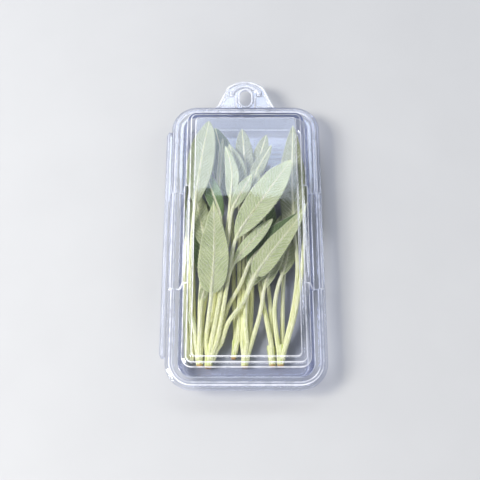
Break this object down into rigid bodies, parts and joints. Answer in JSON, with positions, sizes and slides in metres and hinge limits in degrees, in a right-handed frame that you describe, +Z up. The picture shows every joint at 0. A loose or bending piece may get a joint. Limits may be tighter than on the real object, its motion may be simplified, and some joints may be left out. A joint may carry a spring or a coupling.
{
  "type": "packed bunch of sage",
  "caption": "Bunch of cut sage, pale leaves on long stalks, lying in a clear hinged clamshell pack with a hang tab.",
  "frame": {"origin": "middle of the tray's flat underside", "axes": "+Y along the pack towards the hang tab, +X across it away from the hinge, +Z up out of the lid"},
  "size_m": [0.1015, 0.216, 0.0288],
  "materials": {
    "clear_plastic": "clear thermoformed sheet, glossy, faintly blue",
    "leaf_pale": "downy pale underside of a sage leaf, matte",
    "leaf_green": "pebbled green upper side of a sage leaf, matte",
    "stem": "ribbed pale green stalk with a browned cut end"
  },
  "bodies": {
    "pack_base": {"tray": "clear_plastic", "hinge": "clear_plastic", "leaf_01": "leaf_pale", "leaf_02": "leaf_pale", "leaf_03": "leaf_green", "leaf_04": "leaf_pale", "leaf_05": "leaf_pale", "leaf_06": "leaf_pale", "leaf_07": "leaf_pale", "leaf_08": "leaf_pale", "leaf_09": "leaf_pale", "leaf_10": "leaf_pale", "leaf_11": "leaf_pale", "leaf_12": "leaf_pale", "leaf_13": "leaf_pale", "leaf_14": "leaf_pale", "leaf_15": "leaf_pale", "leaf_16": "leaf_pale", "leaf_17": "leaf_pale", "leaf_18": "leaf_pale", "leaf_19": "leaf_pale", "leaf_20": "leaf_green", "leaf_21": "leaf_pale", "leaf_22": "leaf_green", "leaf_23": "leaf_green", "leaf_24": "leaf_green", "leaf_25": "leaf_pale", "leaf_26": "leaf_pale", "leaf_27": "leaf_pale", "leaf_28": "leaf_green", "leaf_29": "leaf_green", "stem_1": "stem", "stem_2": "stem", "stem_3": "stem", "stem_4": "stem", "stem_5": "stem", "stem_6": "stem"},
    "pack_lid": {"lid": "clear_plastic"}
  },
  "joints": [
    {"name": "lid_hinge", "type": "hinge", "parent": "pack_base", "child": "pack_lid", "pos_m": [-0.0514, 0, 0.01315], "axis": [0, -1, 0], "range_deg": [0, 170]}
  ]
}
